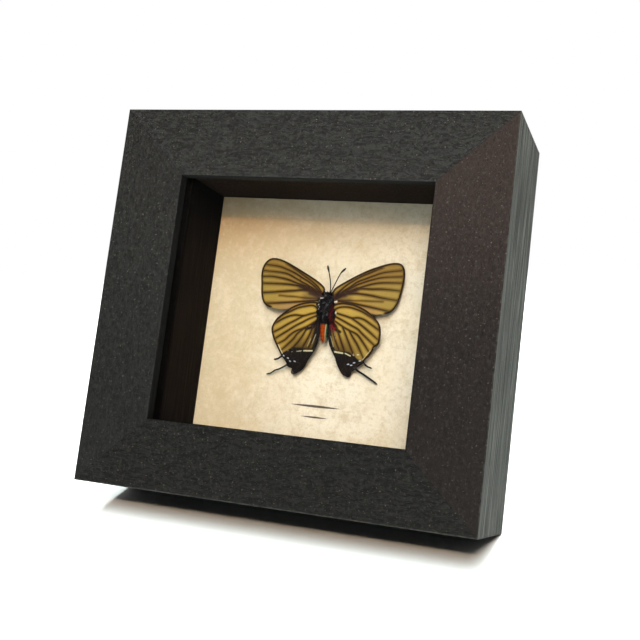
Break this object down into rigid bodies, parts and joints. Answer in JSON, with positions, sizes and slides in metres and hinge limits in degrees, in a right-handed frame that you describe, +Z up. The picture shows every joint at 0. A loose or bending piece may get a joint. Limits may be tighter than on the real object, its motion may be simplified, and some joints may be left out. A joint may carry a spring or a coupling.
{
  "type": "butterfly display case",
  "caption": "Deep mitred black wood frame with glass front that holds a spread butterfly on a card; a hinged easel strut stands it leaning back.",
  "frame": {"origin": "on the floor, under the middle of the standing case's bounding box", "axes": "+X to the right along the case's width, +Y from the viewer to the back, +Z up; the case leans back 22 degrees about X"},
  "size_m": [0.12, 0.0866, 0.1191],
  "materials": {
    "frame_wood": "satin",
    "liner": "matte",
    "glass": "polished",
    "card": "matte",
    "foam": "matte",
    "board": "matte",
    "steel": "satin",
    "bumper": "matte",
    "wing": "satin",
    "insect_body": "satin"
  },
  "bodies": {
    "case": {"rail_top": "frame_wood", "rail_bottom": "frame_wood", "stile_left": "frame_wood", "stile_right": "frame_wood", "corner_v_nails": "steel", "glass_pane": "glass", "spacer_left": "liner", "spacer_right": "liner", "spacer_top": "liner", "spacer_bottom": "liner", "mount_card": "card", "foam_board": "foam", "back_panel": "board", "specimen_riser": "foam", "thorax": "insect_body", "abdomen": "insect_body", "head": "insect_body", "antennae": "insect_body", "forewing_left": "wing", "forewing_right": "wing", "hindwing_left": "wing", "hindwing_right": "wing", "turn_button_screws": "steel", "hinge_fixed_leaf": "steel", "hinge_pin": "steel", "fixed_leaf_rivets": "steel", "sawtooth_hanger": "steel", "hanger_nails": "steel", "wall_bumpers": "bumper"},
    "easel": {"easel_strut": "board", "hinge_strut_leaf": "steel", "strut_leaf_rivets": "steel"},
    "turn_button_upper_left": {"turn_button_upper_left": "steel"},
    "turn_button_upper_right": {"turn_button_upper_right": "steel"},
    "turn_button_lower_left": {"turn_button_lower_left": "steel"},
    "turn_button_lower_right": {"turn_button_lower_right": "steel"}
  },
  "joints": [
    {"name": "easel_hinge", "type": "hinge", "parent": "case", "child": "easel", "pos_m": [0, 0.02041, 0.06562], "axis": [1, 0, 0], "range_deg": [-40, 0]},
    {"name": "turn_button_upper_left_pivot", "type": "hinge", "parent": "case", "child": "turn_button_upper_left", "pos_m": [-0.049, 0.02374, 0.07867], "axis": [0, 0.9272, -0.3746], "continuous": true},
    {"name": "turn_button_upper_right_pivot", "type": "hinge", "parent": "case", "child": "turn_button_upper_right", "pos_m": [0.049, 0.02374, 0.07867], "axis": [0, 0.9272, -0.3746], "continuous": true},
    {"name": "turn_button_lower_left_pivot", "type": "hinge", "parent": "case", "child": "turn_button_lower_left", "pos_m": [-0.049, 0.0025, 0.0261], "axis": [0, 0.9272, -0.3746], "continuous": true},
    {"name": "turn_button_lower_right_pivot", "type": "hinge", "parent": "case", "child": "turn_button_lower_right", "pos_m": [0.049, 0.0025, 0.0261], "axis": [0, 0.9272, -0.3746], "continuous": true}
  ]
}
